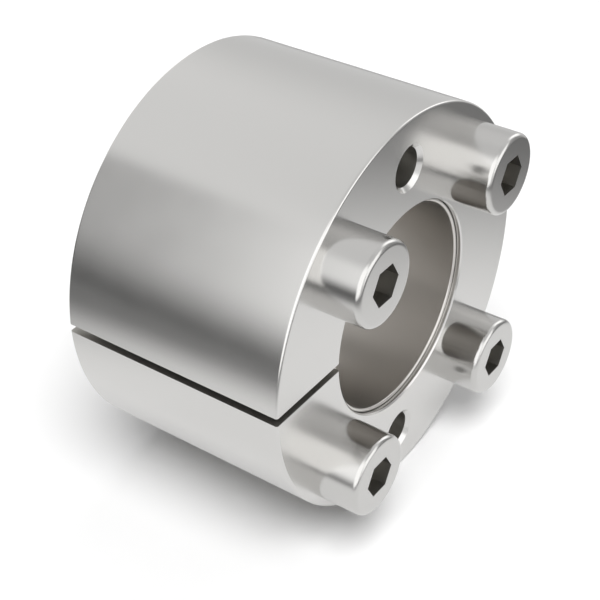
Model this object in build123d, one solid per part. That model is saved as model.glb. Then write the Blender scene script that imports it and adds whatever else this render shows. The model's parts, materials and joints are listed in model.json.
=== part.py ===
from build123d import *
import math
import os

# Shaft locking assembly with one slit cone inside one slit ring, screws slack.
# The shaft's axis is +Z. The rear end stands on z = 0 and the screw heads point up.
# All lengths are in millimetres and all angles in degrees.

# The inner ring, which grips the shaft
shaft_d = 18.0  # bore for the shaft
nose_wall = 0.28  # thickness of the cone's thin front end
cone_rise = 0.07  # growth of the cone's radius per millimetre towards the rear
collar_len = 5.5  # threaded collar behind the cone
collar_inset = 0.3  # collar's rear face in front of the outer ring's rear face
stroke = 0.5  # draw-in from slack to clamped, when the nose comes flush in front

# The outer ring, which presses against the hub
ring_len = 20.7  # rear face to front face
web_wall = 0.82  # thinnest wall between the tapered bore and a screw hole
skirt_wall = 1.2  # wall of the rear skirt around the collar
rim_wall = 0.85  # collar's wall outside a screw thread
slit_w = 0.73  # the slit that lets each ring open and close
slit_angle = 180.0  # where both slits lie, from +X towards +Y

# The clamping screws and the jack holes between them
thread_d = 4.0
thread_pitch = 0.7
screw_count = 4
first_screw_angle = 45.0
jack_angles = (90.0, 270.0)
head_d = 7.0
head_h = 4.0
socket_af = 3.0  # across flats
socket_depth = 2.2
socket_point_angle = 60.0  # half angle of the drill point below the socket
tip_inset = 0.6  # screw's end in front of the outer ring's rear face

# Clearances
taper_gap = 0.055  # radial, cone to tapered bore while slack
collar_gap = 0.2  # radial, collar to skirt
stop_gap = 0.4  # collar to the ring's inner shoulder once clamped
hole_gap = 0.15  # radial, screw to its through hole
thread_gap = 0.05  # radial, plain shank to the plain hole that stands for its thread

# Broken edges and chamfers
edge_break = 0.2  # rings' outside edges
mouth_break = 0.12  # front edge of the tapered bore
nose_break = 0.18  # inner edge of the cone's thin end
lead_in = 0.5  # rear end of the shaft bore
hidden_edge = 0.3  # collar and skirt edges that the outside doesn't show
head_break = 0.3  # front edge of a screw head
tip_edge = 0.35  # end of a screw

# Heights that follow
collar_top = collar_inset + collar_len
shoulder_z = collar_top + stroke + stop_gap
nose_z = ring_len - stroke
front_z = ring_len + head_h

# Radii that follow, from the shaft outwards
shaft_r = shaft_d / 2
thread_r = thread_d / 2
nose_outer_r = shaft_r + nose_wall
hole_r = thread_r + hole_gap
jack_drill_r = (thread_d - thread_pitch) / 2


def cone_radius(z):
    """Outside radius of the inner ring's cone at height z."""
    return nose_outer_r + (nose_z - z) * cone_rise


def taper_radius(z):
    """Radius of the outer ring's tapered bore at height z."""
    return cone_radius(z) + taper_gap


screw_circle_r = taper_radius(shoulder_z) + web_wall + hole_r
collar_r = screw_circle_r + thread_r + rim_wall
skirt_r = collar_r + collar_gap
ring_r = skirt_r + skirt_wall


def turned(corners):
    """Body turned about Z, from corners given as (radius, height, broken edge)."""
    outline = Polyline(*[(r, z) for r, z, edge in corners], close=True)
    face = Plane.XZ * make_face(outline)
    for r, z, edge in corners:
        if edge > 0:
            corner = face.vertices().sort_by_distance((r, 0, z))[0]
            face = chamfer(corner, edge)
    return revolve(face, Axis.Z)


def on_circle(angle, z=0.0):
    """Place on the screw circle at an angle and a height."""
    a = math.radians(angle)
    return Pos(screw_circle_r * math.cos(a), screw_circle_r * math.sin(a), z)


def drill(radius, top_z, mouth_r_top):
    """Cutter for a hole from the shoulder to top_z, widened to mouth_r_top there."""
    depth = top_z - shoulder_z
    mouth = mouth_r_top - radius
    hole = Pos(0, 0, shoulder_z + depth / 2) * Cylinder(radius, depth)
    cone = Pos(0, 0, top_z - mouth / 2) * Cone(radius, mouth_r_top, mouth)
    return hole + cone


def slit_cutter():
    """Flat cutter from the axis outwards through the wall at the slit's angle."""
    reach = ring_r + slit_w
    cutter = Pos(reach / 2, 0, ring_len / 2) * Box(reach, slit_w, 2 * ring_len)
    return Rot(0, 0, slit_angle) * cutter


def screw_angles():
    """Angles of the clamping screws around the axis."""
    return [first_screw_angle + k * 360 / screw_count for k in range(screw_count)]


def outer_ring():
    """Slit ring with a tapered bore, a skirt round the collar, and all the holes."""
    ring = turned([
        (taper_radius(ring_len), ring_len, mouth_break),
        (ring_r, ring_len, edge_break),
        (ring_r, 0, edge_break),
        (skirt_r, 0, hidden_edge),
        (skirt_r, shoulder_z, 0),
        (taper_radius(shoulder_z), shoulder_z, 0),
    ])
    for angle in screw_angles():
        ring -= on_circle(angle) * drill(hole_r, ring_len, hole_r + hole_gap)
    for angle in jack_angles:
        ring -= on_circle(angle) * drill(jack_drill_r, ring_len, thread_r)
    return ring - slit_cutter()


def inner_ring():
    """Slit cone with a threaded collar behind it, bored for the shaft."""
    ring = turned([
        (shaft_r, nose_z, nose_break),
        (nose_outer_r, nose_z, 0),
        (cone_radius(collar_top), collar_top, 0),
        (collar_r, collar_top, hidden_edge),
        (collar_r, collar_inset, hidden_edge),
        (shaft_r, collar_inset, 0),
    ])
    lead_cone = Cone(shaft_r + lead_in, shaft_r, lead_in)
    ring -= Pos(0, 0, collar_inset + lead_in / 2) * lead_cone
    for angle in screw_angles():
        tapped_hole = Cylinder(thread_r, collar_len)
        ring -= on_circle(angle, collar_inset + collar_len / 2) * tapped_hole
    return ring - slit_cutter()


def clamping_screw():
    """Socket head screw on its own axis, with its head seated on the front face."""
    shank_r = thread_r - thread_gap
    screw = turned([
        (0, tip_inset, 0),
        (shank_r - tip_edge, tip_inset, 0),
        (shank_r, tip_inset + tip_edge, 0),
        (shank_r, ring_len, 0),
        (head_d / 2, ring_len, 0),
        (head_d / 2, front_z, head_break),
        (0, front_z, 0),
    ])
    hexagon = RegularPolygon(socket_af / 2, 6, major_radius=False)
    socket = extrude(Pos(0, 0, front_z) * hexagon, -socket_depth)
    point_h = socket_af / 2 / math.tan(math.radians(socket_point_angle))
    point = Pos(0, 0, front_z - socket_depth - point_h / 2) * Cone(0, socket_af / 2, point_h)
    return screw - socket - point


os.makedirs("parts", exist_ok=True)
export_step(outer_ring(), "parts/outer_ring.step")
export_step(inner_ring(), "parts/inner_ring.step")
for number, screw_angle in enumerate(screw_angles(), start=1):
    export_step(on_circle(screw_angle) * clamping_screw(), f"parts/clamping_screw_{number}.step")
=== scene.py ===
import json
import math

import bmesh
import bpy
import numpy as np
from mathutils import Matrix, Vector


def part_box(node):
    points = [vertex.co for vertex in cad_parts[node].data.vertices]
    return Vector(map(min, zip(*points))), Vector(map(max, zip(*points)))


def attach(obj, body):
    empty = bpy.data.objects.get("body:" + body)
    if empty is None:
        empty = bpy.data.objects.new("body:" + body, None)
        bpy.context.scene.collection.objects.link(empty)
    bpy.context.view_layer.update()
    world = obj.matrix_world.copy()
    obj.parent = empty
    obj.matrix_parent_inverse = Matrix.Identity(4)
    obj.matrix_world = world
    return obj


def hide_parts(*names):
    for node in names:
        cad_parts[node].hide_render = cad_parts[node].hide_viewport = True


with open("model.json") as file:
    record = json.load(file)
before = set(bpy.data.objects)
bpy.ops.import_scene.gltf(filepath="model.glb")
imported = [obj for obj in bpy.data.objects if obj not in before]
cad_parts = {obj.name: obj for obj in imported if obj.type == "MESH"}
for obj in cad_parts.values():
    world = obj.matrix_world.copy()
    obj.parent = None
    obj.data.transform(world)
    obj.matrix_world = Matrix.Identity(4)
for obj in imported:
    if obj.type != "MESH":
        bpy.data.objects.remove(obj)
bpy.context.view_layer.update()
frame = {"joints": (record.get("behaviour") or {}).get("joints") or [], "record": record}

# Outer ring
# One piece turned from stainless bar, with a tapered bore, a skirt at the rear, four clearance holes for the
# clamping screws, two tapped jack holes and one slit along its whole length. It carries all the other pieces:
# the screw heads seat on its front face, and the hub closes round its outside.
mm = 0.001
mounts = {mount["name"]: mount["dims"] for mount in frame["record"]["mounts"]}
ring_r = mounts["hub_seat"]["r_mm"] * mm
front_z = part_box("outer_ring")[1].z
shoulder_z = 6.7 * mm  # the inner face in front of the collar
skirt_r = 16.3 * mm
cone_rise = 0.07  # growth of the taper's and the cone's radius per length, towards the rear
taper_front_r = 9.3 * mm
taper_rear_r = taper_front_r + (front_z - shoulder_z) * cone_rise
slit_w = 0.73 * mm
thread_r = 2.0 * mm
thread_pitch = 0.7 * mm
hole_circle_r = mounts["jack_holes"]["spacing_y_mm"] / 2 * mm
screw_hole_r = thread_r + 0.15 * mm
jack_hole_r = mounts["jack_holes"]["hole_r_mm"] * mm
jack_thread_below = 1.7 * mm  # from the front face to the thread's start
jack_thread_above = 0.3 * mm  # from the thread's end to the shoulder
thread_margin = 0.05 * mm  # from a thread's first row to the plain row before it
runout_turns = 1.5  # over which a thread fades at each end
crest_flat = 0.125  # share of a sharp thread's height that its crests lack
root_flat = 0.2  # share that its roots lack
ring_edge = 0.2 * mm
mouth_edge = 0.12 * mm
hidden_edge = 0.3 * mm
corner_flat = 0.04 * mm  # beside each broken edge
# How finely the meshes are divided
round_steps = 7
straight = 1
sector_angle = 45
sector_columns = 24
face_rows = 12
web_rows = 5
hole_columns = 2 * (sector_columns + face_rows)
pitch_rows = 8
# Finishes of a ring, in the order of its materials
turned, drilled, sawn = 0, 1, 2


def turned_outline(corners):
    """Outline of a turned section, from corners given as (radius, height, cut, steps).

    A cut corner becomes an arc that touches both of its sides. The arc's centre lies on the corner's
    bisector, at the cut divided by the sine of half the corner's angle, and its points are spaced evenly by
    angle. One step gives a chamfer. A short flat is kept on each side of a cut, so that its shading doesn't
    spread.
    """
    points = np.array([corner[:2] for corner in corners])
    outline = []
    for number, (radius, height, cut, steps) in enumerate(corners):
        here = points[number]
        if cut == 0:
            outline.append(here[None])
            continue
        to_last = points[number - 1] - here
        to_next = points[(number + 1) % len(points)] - here
        to_last /= np.linalg.norm(to_last)
        to_next /= np.linalg.norm(to_next)
        half = math.acos(np.dot(to_last, to_next)) / 2
        reach = cut / math.tan(half)
        middle = (to_last + to_next) / np.linalg.norm(to_last + to_next)
        centre = here + middle * cut / math.sin(half)
        side = (to_next - to_last) / np.linalg.norm(to_next - to_last)
        swing = math.pi / 2 - half
        turn = np.linspace(-swing, swing, steps + 1)[:, None]
        arc = centre + cut * (np.sin(turn) * side - np.cos(turn) * middle)
        before = here + to_last * (reach + corner_flat)
        after = here + to_next * (reach + corner_flat)
        outline += [before[None], arc, after[None]]
    return np.concatenate(outline)


def ring_angles(radii, columns):
    """Angles of a slit ring's columns at each radius, from one wall of the slit round to the other.

    They are even, except in the 22.5 degrees on each side of the slit. There they are squeezed, so that the
    last one is 180 degrees less the angle whose sine is half the slit over the radius, and the slit's walls
    are flat.
    """
    even = np.linspace(-math.pi, math.pi, columns + 1)[None, :]
    near = math.pi / 8
    past = np.maximum(np.abs(even) - (math.pi - near), 0)
    room = near - np.arcsin(slit_w / 2 / radii)[:, None]
    return np.sign(even) * (np.minimum(np.abs(even), math.pi - near) + past * room / near)


def split_face(outline, height):
    """The outline with its longest flat at a height divided evenly, and the numbers of that flat's ends."""
    ahead = np.roll(outline, -1, axis=0)
    flat = np.isclose(outline[:, 1], height, atol=1e-7) & np.isclose(ahead[:, 1], height, atol=1e-7)
    lengths = np.where(flat, np.abs(ahead[:, 0] - outline[:, 0]), 0)
    first = int(np.argmax(lengths))
    share = np.linspace(0, 1, face_rows + 1)[1:-1, None]
    between = outline[first] + (ahead[first] - outline[first]) * share
    divided = np.insert(outline, first + 1, between, axis=0)
    return divided, first, first + face_rows


def slit_ring(name, outline, upper_height, lower_height, holes):
    """A slit ring, turned from an outline and drilled between an upper and a lower flat face.

    Each point of the outline is repeated round the axis at the ring's angles. A hole sits in a sector of 45
    degrees. There, the flat face is a web whose points go in a straight line from the hole's circle to the
    sector's edge, and the hole's wall is a grid of circles from the upper face to the lower. Each hole is
    given as its angle, two arrays, radius and height, with a row for each circle from top to bottom, and how
    many of its first bands are a countersink, which is turned and not drilled.
    """
    outline, upper_a, upper_b = split_face(outline, upper_height)
    outline, lower_a, lower_b = split_face(outline, lower_height)
    if lower_a < upper_a:
        upper_a += face_rows - 1
        upper_b += face_rows - 1
    columns = 360 // sector_angle * sector_columns
    angles = ring_angles(outline[:, 0], columns)
    grid = np.stack([outline[:, :1] * np.cos(angles), outline[:, :1] * np.sin(angles),
                     np.broadcast_to(outline[:, 1:], angles.shape)], axis=-1)
    rows = len(outline)
    number = np.arange(rows * (columns + 1)).reshape(rows, columns + 1)
    below = np.roll(number, -1, axis=0)
    quads = np.stack([number[:, :-1], number[:, 1:], below[:, 1:], below[:, :-1]], axis=-1)
    kept = np.ones((rows, columns), bool)
    points = [grid.reshape(-1, 3)]
    faces = []
    finishes = []
    used = number.size
    # A hole's circle starts where the sector's edge does, at its inner left corner, and runs the same way.
    start = -math.pi + math.pi * sector_columns / hole_columns
    round_hole = start - 2 * math.pi * np.arange(hole_columns) / hole_columns
    for angle, wall_r, wall_z, mouth_bands in holes:
        middle = round((angle + 180) / sector_angle) * sector_columns
        left, right = middle - sector_columns // 2, middle + sector_columns // 2
        turn = round_hole + math.radians(angle)
        centre_x = hole_circle_r * math.cos(math.radians(angle))
        centre_y = hole_circle_r * math.sin(math.radians(angle))
        wall_r, wall_z = np.broadcast_arrays(wall_r + 0 * turn, wall_z + 0 * turn)
        wall = np.stack([centre_x + wall_r * np.cos(turn), centre_y + wall_r * np.sin(turn), wall_z], axis=-1)
        wall_number = used + np.arange(wall_r.size).reshape(wall_r.shape)
        points.append(wall.reshape(-1, 3))
        used += wall_r.size
        after = np.roll(wall_number, -1, axis=1)
        faces.append(np.stack([wall_number[:-1], wall_number[1:], after[1:], after[:-1]], axis=-1))
        bands = np.arange(len(wall_r) - 1)[:, None]
        finishes.append(np.where(bands < mouth_bands, turned, drilled + 0 * turn[None]))
        for first, last, rim in ((upper_a, upper_b, 0), (lower_a, lower_b, -1)):
            kept[first:last, left:right] = False
            inner, outer = (first, last) if outline[first, 0] < outline[last, 0] else (last, first)
            step = 1 if outer > inner else -1
            outward = np.arange(inner, outer, step)
            edge = np.concatenate([number[inner, left:right], number[outward, right],
                                   number[outer, right:left:-1], number[outward[::-1] + step, left]])
            share = np.linspace(0, 1, web_rows + 1)[1:-1, None, None]
            edge_points = grid.reshape(-1, 3)[edge]
            between = wall[rim][None] * (1 - share) + edge_points[None] * share
            between_number = used + np.arange(between[..., 0].size).reshape(between.shape[:2])
            points.append(between.reshape(-1, 3))
            used += between_number.size
            web = np.concatenate([wall_number[rim][None], between_number, edge[None]])
            after = np.roll(web, -1, axis=1)
            faces.append(np.stack([web[:-1], web[1:], after[1:], after[:-1]], axis=-1))
            finishes.append(np.full(web[:-1].shape, turned))
    faces.append(quads[kept])
    finishes += [np.full(kept.sum(), turned), np.full(2, sawn)]
    quads = np.concatenate([block.reshape(-1, 4) for block in faces])
    slit_walls = [number[:, 0].tolist(), number[::-1, -1].tolist()]
    mesh = bpy.data.meshes.new(name)
    mesh.from_pydata(np.concatenate(points).tolist(), [], quads.tolist() + slit_walls)
    finish = np.concatenate([block.ravel() for block in finishes]).astype(np.int32)
    mesh.polygons.foreach_set("material_index", finish)
    return mesh


def smooth_turned(mesh):
    """Points all faces outwards and shades them smooth, with an edge where they turn by over 25 degrees."""
    work = bmesh.new()
    work.from_mesh(mesh)
    bmesh.ops.recalc_face_normals(work, faces=work.faces)
    work.to_mesh(mesh)
    work.free()
    mesh.shade_smooth()
    mesh.set_sharp_from_angle(angle=math.radians(25))
    return mesh


def thread_height(turns):
    """Height of a thread's section above its root, from 0 to 1, at a number of turns from a crest.

    It is a wedge that falls evenly from each crest to the root between them, cut flat at the top by the
    crest's flat, and filled flat at the bottom by the root's, both as shares of the wedge's height.
    """
    wedge = np.abs(2 * np.mod(turns, 1) - 1)
    return np.clip((wedge - root_flat) / (1 - crest_flat - root_flat), 0, 1)


def thread_rows(low, high, columns):
    """Heights for a thread's rows, the share of its full depth at each row, and its turns at each point.

    The rows follow the thread: each climbs by one pitch in a turn, less near the two ends, where the rows
    level out and the thread fades, so that they meet plain circles.
    """
    count = int(round((high - low) / thread_pitch * pitch_rows))
    share = np.linspace(0, 1, count + 1)[:, None]
    runout = runout_turns * thread_pitch / (high - low)
    fade = np.clip(share / runout, 0, 1) * np.clip((1 - share) / runout, 0, 1)
    turn = np.arange(columns)[None, :] / columns
    height = low + (high - low) * share + thread_pitch * (turn - 0.5) * fade
    return np.clip(height, low, high), fade, height / thread_pitch - turn


thread_z, thread_fade, thread_turns = thread_rows(
    shoulder_z + jack_thread_above, front_z - jack_thread_below, hole_columns)
groove_r = jack_hole_r + (thread_r - jack_hole_r) * thread_fade * (1 - thread_height(thread_turns))
mouth_r = np.array([thread_r, jack_hole_r, jack_hole_r])[:, None] + np.zeros(hole_columns)
mouth_z = np.array([front_z, front_z - (thread_r - jack_hole_r),
                    front_z - jack_thread_below + thread_margin])[:, None] + np.zeros(hole_columns)
jack_r = np.concatenate([mouth_r, groove_r[::-1], np.full((1, hole_columns), jack_hole_r)])
jack_z = np.concatenate([mouth_z, thread_z[::-1], np.full((1, hole_columns), shoulder_z)])
clear_r = np.array([[screw_hole_r], [screw_hole_r]])
clear_z = np.array([[front_z], [shoulder_z]])
screw_angles = (-135, -45, 45, 135)
jack_angles = (-90, 90)
outer_outline = turned_outline([
    (taper_front_r, front_z, mouth_edge, straight),
    (ring_r, front_z, ring_edge, round_steps),
    (ring_r, 0, ring_edge, round_steps),
    (skirt_r, 0, hidden_edge, straight),
    (skirt_r, shoulder_z, 0, 0),
    (taper_rear_r, shoulder_z, 0, 0),
])
outer_mesh = slit_ring("outer_ring_turned", outer_outline, front_z, shoulder_z,
                       [(angle, clear_r, clear_z, 0) for angle in screw_angles]
                       + [(angle, jack_r, jack_z, 1) for angle in jack_angles])
outer_ring = bpy.data.objects.new("outer_ring_turned", smooth_turned(outer_mesh))
bpy.context.scene.collection.objects.link(outer_ring)


def add_node(tree, kind, settings, inputs):
    """Adds a node to a tree, gives it its settings, and fills its inputs with values or with links.

    An input goes by its name, or by its number where a node has several of one name. A colour mix takes its
    share at 0, the colour for a share of 0 at 6 and the colour for a share of 1 at 7.
    """
    node = tree.nodes.new(kind)
    for name, value in settings.items():
        setattr(node, name, value)
    for name, value in inputs.items():
        if isinstance(value, bpy.types.NodeSocket):
            tree.links.new(value, node.inputs[name])
        else:
            node.inputs[name].default_value = value
    return node


def linear(hex_colour):
    """An sRGB hex colour turned to linear red, green, blue and alpha."""
    parts = np.array([int(hex_colour[i:i + 2], 16) / 255 for i in (1, 3, 5)])
    parts = np.where(parts <= 0.04045, parts / 12.92, ((parts + 0.055) / 1.055) ** 2.4)
    return (*parts.tolist(), 1.0)


def turned_steel(name, colour, roughness, axis_distance):
    """Bright stainless steel with turning marks round its axis and slight differences in polish.

    axis_distance makes the socket that gives the distance from the piece's own axis. Marks lie a feed apart,
    both along the axis and across a face, because their pattern reads the sum of the height and that
    distance.
    """
    material = bpy.data.materials.new(name)
    material.use_nodes = True
    tree = material.node_tree
    tree.nodes.clear()
    place = add_node(tree, "ShaderNodeTexCoord", {}, {}).outputs["Object"]
    parts = add_node(tree, "ShaderNodeSeparateXYZ", {}, {0: place})
    distance = axis_distance(tree, parts)
    along = add_node(tree, "ShaderNodeMath", {"operation": "ADD"}, {0: parts.outputs["Z"], 1: distance})
    # The real feed is about 0.05 mm, too fine to show, so the marks are drawn 0.2 mm apart.
    feed = 0.2 * mm
    marks = add_node(tree, "ShaderNodeTexNoise", {"noise_dimensions": "1D"},
                     {"W": along.outputs[0], "Scale": 1 / feed, "Detail": 2.0, "Roughness": 0.6})
    # Polish differs a little over patches of a few millimetres.
    patch = 3 * mm
    change = 0.012
    polish = add_node(tree, "ShaderNodeTexNoise", {}, {"Vector": place, "Scale": 1 / patch, "Detail": 3.0})
    shade = add_node(tree, "ShaderNodeMapRange", {},
                     {"Value": polish.outputs["Fac"], "From Min": 0.3, "From Max": 0.7,
                      "To Min": roughness - change, "To Max": roughness + change})
    bump = add_node(tree, "ShaderNodeBump", {},
                    {"Strength": 0.04, "Distance": 0.01 * mm, "Height": marks.outputs["Fac"]})
    steel = add_node(tree, "ShaderNodeBsdfPrincipled", {},
                     {"Base Color": linear(colour), "Metallic": 1.0, "Roughness": shade.outputs[0],
                      "Normal": bump.outputs[0]})
    add_node(tree, "ShaderNodeOutputMaterial", {}, {"Surface": steel.outputs[0]})
    return material


def from_z_axis(tree, parts):
    """Distance from the shaft's axis, the root of the sum of the squares of x and y."""
    flat = add_node(tree, "ShaderNodeCombineXYZ", {}, {"X": parts.outputs["X"], "Y": parts.outputs["Y"]})
    length = add_node(tree, "ShaderNodeVectorMath", {"operation": "LENGTH"}, {0: flat.outputs[0]})
    return length.outputs["Value"]


def dull_steel(name, colour, roughness, grain):
    """Dull stainless steel with a fine grain of torn metal, darkened in colour as painted shade for a recess.
    """
    material = bpy.data.materials.new(name)
    material.use_nodes = True
    tree = material.node_tree
    tree.nodes.clear()
    place = add_node(tree, "ShaderNodeTexCoord", {}, {}).outputs["Object"]
    torn = add_node(tree, "ShaderNodeTexNoise", {}, {"Vector": place, "Scale": 1 / grain, "Detail": 3.0})
    change = 0.1
    shade = add_node(tree, "ShaderNodeMapRange", {},
                     {"Value": torn.outputs["Fac"],
                      "To Min": roughness - change, "To Max": roughness + change})
    bump = add_node(tree, "ShaderNodeBump", {},
                    {"Strength": 0.2, "Distance": 0.01 * mm, "Height": torn.outputs["Fac"]})
    steel = add_node(tree, "ShaderNodeBsdfPrincipled", {},
                     {"Base Color": linear(colour), "Metallic": 1.0, "Roughness": shade.outputs[0],
                      "Normal": bump.outputs[0]})
    add_node(tree, "ShaderNodeOutputMaterial", {}, {"Surface": steel.outputs[0]})
    return material


# Turned and polished outside, the ring shows its surroundings softly. Its holes and its slit blur what they
# show, as they are left rough as the drill, the tap and the saw cut them, and they are given a darker colour
# that is painted shade in these narrow recesses.
# The torn metal's real grain is some 0.05 mm, too fine to show, so it is drawn at about 0.3 mm.
drilled_grain = 0.3 * mm
sawn_grain = 0.25 * mm
ring_steel = turned_steel("stainless_steel_turned_and_polished", "#DAD9D7", 0.22, from_z_axis)
tapped_steel_painted_shade = dull_steel("stainless_steel_drilled_and_tapped_painted_shade", "#B4B2AD", 0.38, drilled_grain)
sawn_steel_painted_shade = dull_steel("stainless_steel_sawn_painted_shade", "#A6A49F", 0.47, sawn_grain)
for finish in (ring_steel, tapped_steel_painted_shade, sawn_steel_painted_shade):
    outer_ring.data.materials.append(finish)
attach(outer_ring, "outer_ring")
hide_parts("outer_ring")

# Inner ring
# The cone that grips the shaft: one turned piece of stainless steel, under 0.3 mm thick at its front end,
# with a collar at the rear that is tapped for the four screws. They draw it forwards into the outer ring's
# taper.
shaft_r = mounts["shaft_bore"]["r_mm"] * mm
collar_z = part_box("inner_ring")[0].z
nose_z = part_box("inner_ring")[1].z
collar_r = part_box("inner_ring")[1].y
collar_len = 5.5 * mm
collar_top = collar_z + collar_len
nose_wall = 0.28 * mm
nose_r = shaft_r + nose_wall
cone_rear_r = nose_r + (nose_z - collar_top) * cone_rise
bore_lead = 0.5 * mm
nose_edge = 0.18 * mm
nose_rim_edge = 0.03 * mm
nose_rim_steps = 2
tapped_mouth = 0.1 * mm
tapped_wall_r = np.array([[thread_r + tapped_mouth], [thread_r], [thread_r], [thread_r + tapped_mouth]])
tapped_wall_z = np.array([[collar_top], [collar_top - tapped_mouth], [collar_z + tapped_mouth], [collar_z]])
inner_outline = turned_outline([
    (shaft_r, nose_z, nose_edge, round_steps),
    (nose_r, nose_z, nose_rim_edge, nose_rim_steps),
    (cone_rear_r, collar_top, 0, 0),
    (collar_r, collar_top, hidden_edge, straight),
    (collar_r, collar_z, hidden_edge, straight),
    (shaft_r, collar_z, bore_lead, straight),
])
inner_mesh = slit_ring("inner_ring_turned", inner_outline, collar_top, collar_z,
                       [(angle, tapped_wall_r, tapped_wall_z, 1) for angle in screw_angles])
inner_ring = bpy.data.objects.new("inner_ring_turned", smooth_turned(inner_mesh))
bpy.context.scene.collection.objects.link(inner_ring)
# The bore is ground to size and not polished, so it is duller than the outside, and its lights are wide and
# soft and a little warm. Its tapped holes and its slit are as the outer ring's, darker in colour as painted
# shade.
cone_steel = turned_steel("stainless_steel_ground_bore", "#D8D5D1", 0.29, from_z_axis)
for finish in (cone_steel, tapped_steel_painted_shade, sawn_steel_painted_shade):
    inner_ring.data.materials.append(finish)
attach(inner_ring, "inner_ring")
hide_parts("inner_ring")

# Clamping screws
# Four socket head cap screws, M4 by 20, of bright stainless steel. Their threads are rolled, and their heads
# are turned and polished, with a rounded front edge and a hexagon socket pressed in above a drill point.
head_r = 3.5 * mm
head_edge = 0.42 * mm
shank_r = thread_r - 0.05 * mm
root_r = 1.58 * mm
tip_edge = 0.35 * mm
tip_margin = 0.02 * mm  # from the tip to the thread's first row
neck = 1.2 * mm  # the plain length below the head
socket_af = 3.0 * mm
socket_depth = 2.2 * mm
point_half_angle = 60
point_depth = socket_af / 2 / math.tan(math.radians(point_half_angle))
screw_columns = 96
polished, pressed = 0, 1


def screw_rows(tip_z, seat_z, top_z):
    """Radius and height of a screw's surface, with a row for each ring from its tip to its socket's bottom.

    The radius is the same all round, except in two stretches. On the thread it is the root's radius plus the
    thread's height, cut to the tip's chamfer. The thread's grooves reach their full depth in the first third
    of the runout. In the socket the radius is the hexagon's: half the width across flats over the cosine of
    the angle from the middle of the nearest flat, with corners towards +X and -X.
    """
    turn = 2 * math.pi * np.arange(screw_columns) / screw_columns
    hexagon = socket_af / 2 / np.cos(np.mod(turn, math.pi / 3) - math.pi / 6)
    all_round = np.zeros((1, screw_columns))
    height, fade, turns = thread_rows(tip_z + tip_margin, seat_z - neck, screw_columns)
    cut = 1 - (1 - thread_height(turns)) * np.minimum(1, fade * 3)
    radius = root_r + (shank_r - root_r) * cut
    radius = np.minimum(radius, shank_r - tip_edge + (height - tip_z))
    head = turned_outline([
        (0, seat_z, 0, 0),
        (shank_r, seat_z, 0, 0),
        (head_r, seat_z, 0, 0),
        (head_r, top_z, head_edge, round_steps),
        (0, top_z, 0, 0),
    ])[1:-1]
    socket_z = top_z - socket_depth
    rows = [
        (shank_r - tip_edge, tip_z),
        (radius, height),
        (shank_r, seat_z - neck + thread_margin),
        (head[:, :1], head[:, 1:]),
        (hexagon[None], top_z),
        (hexagon[None], socket_z),
        (np.minimum(hexagon[None], socket_af / 2), socket_z),
    ]
    rows_r, rows_z = zip(*rows)
    return (np.concatenate([row + all_round for row in rows_r]),
            np.concatenate([row + all_round for row in rows_z]))


def screw_mesh(name, axis_x, axis_y, box):
    """A closed screw surface round its own axis: each ring is joined to the next, and fans close the ends."""
    rows_r, rows_z = screw_rows(box[0].z, front_z, box[1].z)
    turn = 2 * math.pi * np.arange(screw_columns) / screw_columns
    grid = np.stack([axis_x + rows_r * np.cos(turn), axis_y + rows_r * np.sin(turn), rows_z], axis=-1)
    poles = np.array([[axis_x, axis_y, box[0].z], [axis_x, axis_y, box[1].z - socket_depth - point_depth]])
    number = np.arange(rows_r.size).reshape(rows_r.shape)
    after = np.roll(number, -1, axis=1)
    quads = np.stack([number[:-1], after[:-1], after[1:], number[1:]], axis=-1).reshape(-1, 4)
    tip = np.stack([np.full(screw_columns, rows_r.size), after[0], number[0]], axis=-1)
    point = np.stack([np.full(screw_columns, rows_r.size + 1), number[-1], after[-1]], axis=-1)
    mesh = bpy.data.meshes.new(name)
    vertices = np.concatenate([grid.reshape(-1, 3), poles])
    mesh.from_pydata(vertices.tolist(), [], quads.tolist() + tip.tolist() + point.tolist())
    distance = mesh.attributes.new("axis_distance", "FLOAT", "POINT")
    distance.data.foreach_set("value", np.append(rows_r.ravel(), [0, 0]).astype(np.float32))
    bands = np.full((len(rows_r) - 1, screw_columns), polished)
    bands[-2:] = pressed
    finish = np.concatenate([bands.ravel(), np.full(screw_columns, polished),
                             np.full(screw_columns, pressed)])
    mesh.polygons.foreach_set("material_index", finish.astype(np.int32))
    return mesh


def from_own_axis(tree, parts):
    """Distance from the screw's own axis, which its mesh carries with it."""
    return add_node(tree, "ShaderNodeAttribute", {"attribute_name": "axis_distance"}, {}).outputs["Fac"]


# The heads are polished a little finer than the ring, so what they show is crisper, with bright lines along
# their rounded edges. The punch leaves a socket dull, with only a soft light on its walls, and its darker
# colour is painted shade in the recess.
screw_steel = turned_steel("stainless_steel_bright_screw", "#D0CFCD", 0.21, from_own_axis)
socket_steel_painted_shade = dull_steel("stainless_steel_pressed_socket_painted_shade", "#ABA9A4", 0.34, drilled_grain)
for joint in frame["joints"]:
    if joint["type"] != "hinge":
        continue
    body = joint["child"]
    x, y = joint["pos_m"][:2]
    screw = bpy.data.objects.new(body + "_turned", smooth_turned(screw_mesh(body, x, y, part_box(body))))
    bpy.context.scene.collection.objects.link(screw)
    screw.data.materials.append(screw_steel)
    screw.data.materials.append(socket_steel_painted_shade)
    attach(screw, body)
    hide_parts(body)

# Floor
# A sheet of matt white paper. The part lies on it on its outside, as it is photographed, so the sheet touches
# the ring at -Y. A soft lamp high on the left throws the shadow, and a weak one on the right lightens it.
sheet_y = -ring_r
sheet_half = 100 * mm
sheet_middle = 10 * mm
sheet_mesh = bpy.data.meshes.new("paper_sheet")
sheet_corners = [(across * sheet_half, sheet_y, sheet_middle + along * sheet_half)
                 for across, along in ((-1, -1), (-1, 1), (1, 1), (1, -1))]
sheet_mesh.from_pydata(sheet_corners, [], [(0, 1, 2, 3)])
sheet = bpy.data.objects.new("paper_sheet", sheet_mesh)
bpy.context.scene.collection.objects.link(sheet)
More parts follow.
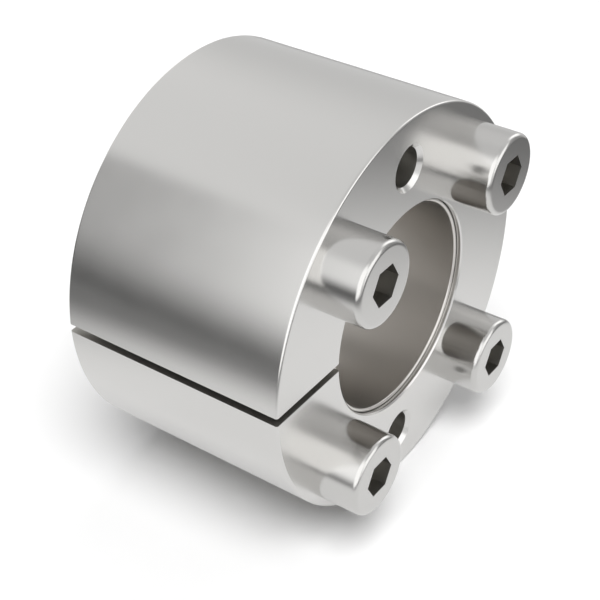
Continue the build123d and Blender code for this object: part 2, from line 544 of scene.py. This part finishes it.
# Matt paper has no shine, so it shows only the shadow. Mirrored in the metal, it carries a painted pool of
# light: a painted glow and a paler colour close to the part, which fade to a dim grey, as on a sheet that a
# lamp lights from near by.
pool_middle = (-6 * mm, sheet_y, 18 * mm)
pool_r = 28 * mm
pool_end_r = 73 * mm
pool_strength = 0.45
paper = bpy.data.materials.new("matt_white_paper")
paper.use_nodes = True
tree = paper.node_tree
tree.nodes.clear()
place = add_node(tree, "ShaderNodeTexCoord", {}, {}).outputs["Object"]
away = add_node(tree, "ShaderNodeVectorMath", {"operation": "DISTANCE"}, {0: place, 1: pool_middle})
pool = add_node(tree, "ShaderNodeMapRange", {"interpolation_type": "SMOOTHSTEP"},
                {"Value": away.outputs["Value"], "From Min": pool_r, "From Max": pool_end_r,
                 "To Min": 1.0, "To Max": 0.0})
matt = add_node(tree, "ShaderNodeBsdfDiffuse", {}, {"Color": linear("#F3F3F3")})
# Painted light: as the metal mirrors it, the paper's colour is paler in the pool and a dim grey beyond it.
dimmed = add_node(tree, "ShaderNodeMix", {"data_type": "RGBA"},
                  {0: pool.outputs[0], 6: linear("#707070"), 7: linear("#A8A8A8")})
painted_pool_matt = add_node(tree, "ShaderNodeBsdfDiffuse", {}, {"Color": dimmed.outputs[2]})
# A painted glow: as the metal mirrors it, the sheet glows by this share near the part.
pool_level = add_node(tree, "ShaderNodeMath", {"operation": "MULTIPLY"},
                      {0: pool.outputs[0], 1: pool_strength})
painted_pool_glow = add_node(tree, "ShaderNodeEmission", {}, {"Strength": pool_level.outputs[0]})
as_mirrored = add_node(tree, "ShaderNodeAddShader", {}, {0: painted_pool_matt.outputs[0], 1: painted_pool_glow.outputs[0]})
# Light that goes from the sheet to the metal and back finds the plain paper, so the painted pool lights no
# shadow.
ray = add_node(tree, "ShaderNodeLightPath", {}, {}).outputs
shaded = add_node(tree, "ShaderNodeMath", {"operation": "GREATER_THAN"}, {0: ray["Diffuse Depth"], 1: 0.5})
as_mirrored = add_node(tree, "ShaderNodeMixShader", {},
                       {0: shaded.outputs[0], 1: as_mirrored.outputs[0], 2: matt.outputs[0]})
lit = add_node(tree, "ShaderNodeMixShader", {},
               {0: ray["Is Glossy Ray"], 1: matt.outputs[0], 2: as_mirrored.outputs[0]})
# From behind, the sheet is clear, so that it hides nothing in a view from below.
clear = add_node(tree, "ShaderNodeBsdfTransparent", {}, {})
side = add_node(tree, "ShaderNodeNewGeometry", {}, {})
one_sided = add_node(tree, "ShaderNodeMixShader", {},
                     {0: side.outputs["Backfacing"], 1: lit.outputs[0], 2: clear.outputs[0]})
add_node(tree, "ShaderNodeOutputMaterial", {}, {"Surface": one_sided.outputs[0]})
sheet_mesh.materials.append(paper)
# The lamps light only the sheet: the metal mirrors the tent's panels, and the lamps don't show in it.
for lamp_name, strength, spread, lamp_side in (("soft_lamp", 2.75, 38, (-0.31, 0.88, 0.29)),
                                               ("weak_lamp", 0.54, 50, (0.5, 0.8, 0.12))):
    lamp_light = bpy.data.lights.new(lamp_name, "SUN")
    lamp_light.energy = strength
    lamp_light.angle = math.radians(spread)
    lamp = bpy.data.objects.new(lamp_name, lamp_light)
    lamp.matrix_world = Vector(lamp_side).to_track_quat("Z", "Y").to_matrix().to_4x4()
    lamp.visible_glossy = False
    bpy.context.scene.collection.objects.link(lamp)

# Light tent
# The part is in a pale tent with white panels at its left, its right and its front. Polished metal shows
# little but its surroundings, so the panels' places, round the shaft's axis and along it, make its lights and
# its darks.
world = bpy.data.worlds.new("light_tent")
bpy.context.scene.world = world
world.use_nodes = True
tent = world.node_tree
tent.nodes.clear()
direction = add_node(tent, "ShaderNodeTexCoord", {}, {}).outputs["Generated"]
toward = add_node(tent, "ShaderNodeSeparateXYZ", {}, {0: direction}).outputs
down = add_node(tent, "ShaderNodeMath", {"operation": "MULTIPLY"}, {0: toward["Y"], 1: -1.0})
turn = add_node(tent, "ShaderNodeMath", {"operation": "ARCTAN2"}, {0: toward["X"], 1: down.outputs[0]})
turn = add_node(tent, "ShaderNodeMath", {"operation": "DEGREES"}, {0: turn.outputs[0]}).outputs[0]
across, up, along = toward["X"], toward["Y"], toward["Z"]


def panel(under, level, spans):
    """Lays a panel of an even level over what is under it, where all of its spans hold.

    A span is a measure of the direction, with a low end, a high end and the width of its soft edges. It rises
    by a smooth step at its low end and falls by another at its high end.
    """
    share = 1.0
    for measure, low, high, soft in spans:
        for end, before, after in ((low, 0.0, 1.0), (high, 1.0, 0.0)):
            step = add_node(tent, "ShaderNodeMapRange", {"interpolation_type": "SMOOTHSTEP"},
                            {"Value": measure, "From Min": end - soft / 2, "From Max": end + soft / 2,
                             "To Min": before, "To Max": after})
            share = add_node(tent, "ShaderNodeMath", {"operation": "MULTIPLY"},
                             {0: share, 1: step.outputs[0]}).outputs[0]
    return add_node(tent, "ShaderNodeMix", {"data_type": "RGBA"},
                    {0: share, 6: under, 7: (level, level, level, 1)}).outputs[2]


# turn goes from straight down, by the right, to straight up at 180 degrees, and by the left to -180. along is
# -1 straight behind the part and 1 straight in front of it, and a span to -2 or 2 goes all the way.
# The tent is paler behind the part than elsewhere.
light = panel((0.69, 0.69, 0.69, 1), 0.85, [(along, -2, -0.42, 0.04)])
# Its right side is a little paler high beside the part, and a little darker behind it.
light = panel(light, 0.77, [(turn, 126, 172, 16), (along, -0.42, 0.6, 0.04)])
light = panel(light, 0.67, [(turn, 3, 124, 58), (along, -2, -0.42, 0.04)])
# Openings between its walls are dark: far behind on the left, low behind on the left, in front on the right.
light = panel(light, 0.40, [(turn, -150, -60, 4), (along, -2, -0.53, 0.03)])
light = panel(light, 0.07, [(turn, -92, -3, 36), (along, -2, -0.3, 0.1)])
light = panel(light, 0.33, [(turn, 30, 122, 46), (along, 0.28, 2, 0.38)])
# The white panels are far behind on the right, two on the left that overlap, high on the right, and in front.
light = panel(light, 1.30, [(turn, 60, 140, 20), (along, -2, -0.65, 0.06)])
light = panel(light, 1.60, [(turn, -149, -95, 26), (along, -0.43, 0.82, 0.2)])
light = panel(light, 1.55, [(turn, -157, -74, 20), (along, -0.12, 0.82, 0.18)])
light = panel(light, 1.65, [(turn, 96, 138, 16), (along, -0.14, 0.33, 0.16)])
light = panel(light, 1.52, [(across, -0.24, 0.52, 0.03), (up, -0.11, 0.67, 0.03), (along, 0.5, 2, 0.04)])
# The sheet gets the tent as one even level, so no panel stains the shadow. The camera sees plain white.
ray = add_node(tent, "ShaderNodeLightPath", {}, {}).outputs
shaded = add_node(tent, "ShaderNodeMath", {"operation": "GREATER_THAN"}, {0: ray["Diffuse Depth"], 1: 0.5})
light = add_node(tent, "ShaderNodeMix", {"data_type": "RGBA"},
                 {0: shaded.outputs[0], 6: light, 7: (0.27, 0.27, 0.27, 1)}).outputs[2]
light = add_node(tent, "ShaderNodeMix", {"data_type": "RGBA"},
                 {0: ray["Is Camera Ray"], 6: light, 7: (1, 1, 1, 1)}).outputs[2]
background = add_node(tent, "ShaderNodeBackground", {}, {"Color": light, "Strength": 1.0})
add_node(tent, "ShaderNodeOutputWorld", {}, {"Surface": background.outputs[0]})

# Camera
# It stands at the photograph's viewpoint, above and to the left of the front face, with +Y, the sheet's
# normal, nearly upright. Its focal length is that of the photograph's perspective, in pixels of its width.
camera_place = Vector((-80.94, 69.09, 68.81)) * mm
camera_forward = Vector((0.655522, -0.587678, -0.474263))
camera_up = Vector((0.482595, 0.809046, -0.335480))
focal_length_px = 1424.46
photo_width_px = 600
camera_data = bpy.data.cameras.new("camera")
camera_data.sensor_width = 36
camera_data.lens = focal_length_px / photo_width_px * camera_data.sensor_width
camera_data.clip_start = 1 * mm
camera = bpy.data.objects.new("camera", camera_data)
camera_right = camera_forward.cross(camera_up).normalized()
turned_up = camera_right.cross(camera_forward)
camera.matrix_world = Matrix.Translation(camera_place) @ Matrix(
    (camera_right, turned_up, -camera_forward)).transposed().to_4x4()
bpy.context.scene.collection.objects.link(camera)
bpy.context.scene.camera = camera
bpy.context.scene.view_settings.view_transform = "Standard"
